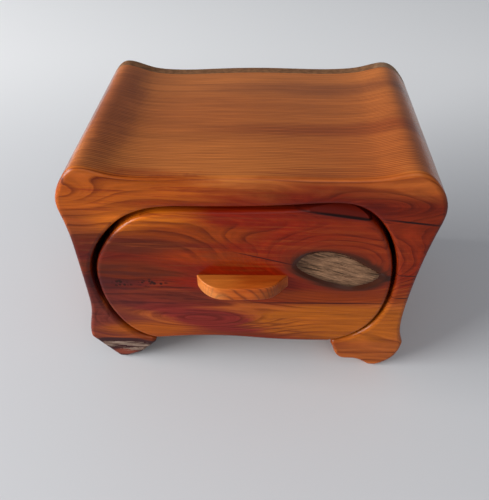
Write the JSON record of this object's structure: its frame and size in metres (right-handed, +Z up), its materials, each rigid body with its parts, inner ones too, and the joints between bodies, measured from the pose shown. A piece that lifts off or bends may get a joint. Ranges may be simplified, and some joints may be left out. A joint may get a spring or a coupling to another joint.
{
  "type": "bandsaw box",
  "caption": "Small keepsake box sawn from one block of wood, with an oval drawer that slides out of its front and a thin wooden pull.",
  "frame": {"origin": "centre of the footprint at the table, under the feet", "axes": "+X to the right seen from the front, +Y from the drawer's face to the back, +Z up"},
  "size_m": [0.2192, 0.1585, 0.1585],
  "materials": {
    "yew": "oiled, semi-gloss",
    "grey_brown_wood": "oiled, satin",
    "golden_sapwood": "oiled, semi-gloss",
    "dowel_wood": "bare",
    "felt": "felt"
  },
  "bodies": {
    "case": {"body": "yew", "back_panel": "grey_brown_wood"},
    "drawer": {"drawer_front": "yew", "drawer_core": "yew", "drawer_back": "yew", "drawer_pull": "golden_sapwood", "pull_dowels": "dowel_wood", "drawer_lining": "felt"}
  },
  "joints": [
    {"name": "drawer_slide", "type": "slide", "parent": "case", "child": "drawer", "axis": [0, -1, 0], "range_m": [0, 0.115]}
  ]
}
